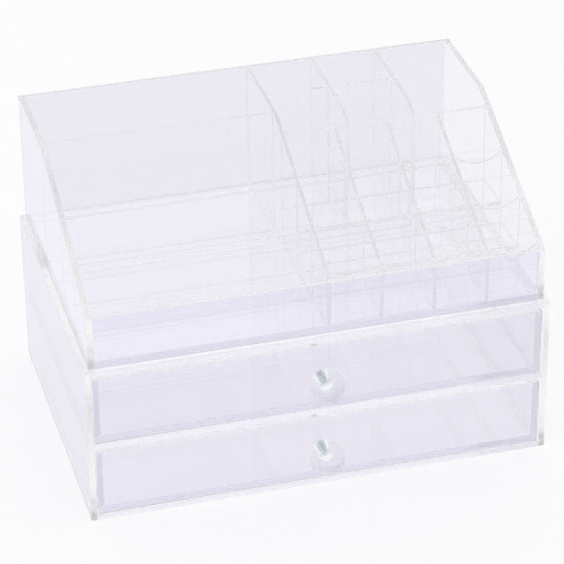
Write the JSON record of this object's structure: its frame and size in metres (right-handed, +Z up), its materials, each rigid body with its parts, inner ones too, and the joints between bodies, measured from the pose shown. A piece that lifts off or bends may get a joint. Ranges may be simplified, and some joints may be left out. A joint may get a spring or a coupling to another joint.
{
  "type": "desk organizer",
  "caption": "Clear sheet desk organizer: a cabinet of two stacked drawers with ball knobs, under a lift-off tray of wide pockets, rear pockets and a stepped lipstick grid.",
  "frame": {"origin": "centre of the cabinet's footprint, on the surface it stands on", "axes": "+X to the organizer's right as seen from the front, +Y to its back, +Z up; the drawers open towards -Y"},
  "size_m": [0.24, 0.1806, 0.16],
  "materials": {
    "clear_sheet": "clear acrylic sheet with flame-polished edges",
    "clear_moulding": "clear moulded acrylic",
    "screw_steel": "bright zinc-plated steel"
  },
  "bodies": {
    "cabinet": {"cabinet_left_side": "clear_sheet", "cabinet_right_side": "clear_sheet", "cabinet_back": "clear_sheet", "cabinet_bottom": "clear_sheet", "drawer_shelf": "clear_sheet", "cabinet_top": "clear_sheet"},
    "tray": {"tray_left_side": "clear_sheet", "tray_right_side": "clear_sheet", "tray_back": "clear_sheet", "tray_front": "clear_sheet", "tray_floor": "clear_sheet", "main_divider": "clear_sheet", "wide_wall_front": "clear_sheet", "wide_wall_middle": "clear_sheet", "wide_wall_rear": "clear_sheet", "grid_wall_front": "clear_sheet", "grid_wall_middle": "clear_sheet", "grid_wall_back": "clear_sheet", "grid_rear_wall": "clear_sheet", "grid_divider_left": "clear_sheet", "grid_divider_middle": "clear_sheet", "grid_divider_right": "clear_sheet", "grid_floor_middle": "clear_sheet", "grid_floor_back": "clear_sheet", "rear_divider_left": "clear_sheet", "rear_divider_right": "clear_sheet", "rear_cross_wall": "clear_sheet"},
    "lower_drawer": {"lower_drawer_front": "clear_sheet", "lower_drawer_bottom": "clear_sheet", "lower_drawer_left_side": "clear_sheet", "lower_drawer_right_side": "clear_sheet", "lower_drawer_back": "clear_sheet", "lower_drawer_knob": "clear_moulding", "lower_drawer_knob_screw": "screw_steel"},
    "upper_drawer": {"upper_drawer_front": "clear_sheet", "upper_drawer_bottom": "clear_sheet", "upper_drawer_left_side": "clear_sheet", "upper_drawer_right_side": "clear_sheet", "upper_drawer_back": "clear_sheet", "upper_drawer_knob": "clear_moulding", "upper_drawer_knob_screw": "screw_steel"}
  },
  "joints": [
    {"name": "lower_drawer_slide", "type": "slide", "parent": "cabinet", "child": "lower_drawer", "axis": [0, -1, 0], "range_m": [0, 0.13]},
    {"name": "upper_drawer_slide", "type": "slide", "parent": "cabinet", "child": "upper_drawer", "axis": [0, -1, 0], "range_m": [0, 0.13]},
    {"name": "tray_lift", "type": "slide", "parent": "cabinet", "child": "tray", "axis": [0, 0, 1], "range_m": [0, 0.045]}
  ]
}
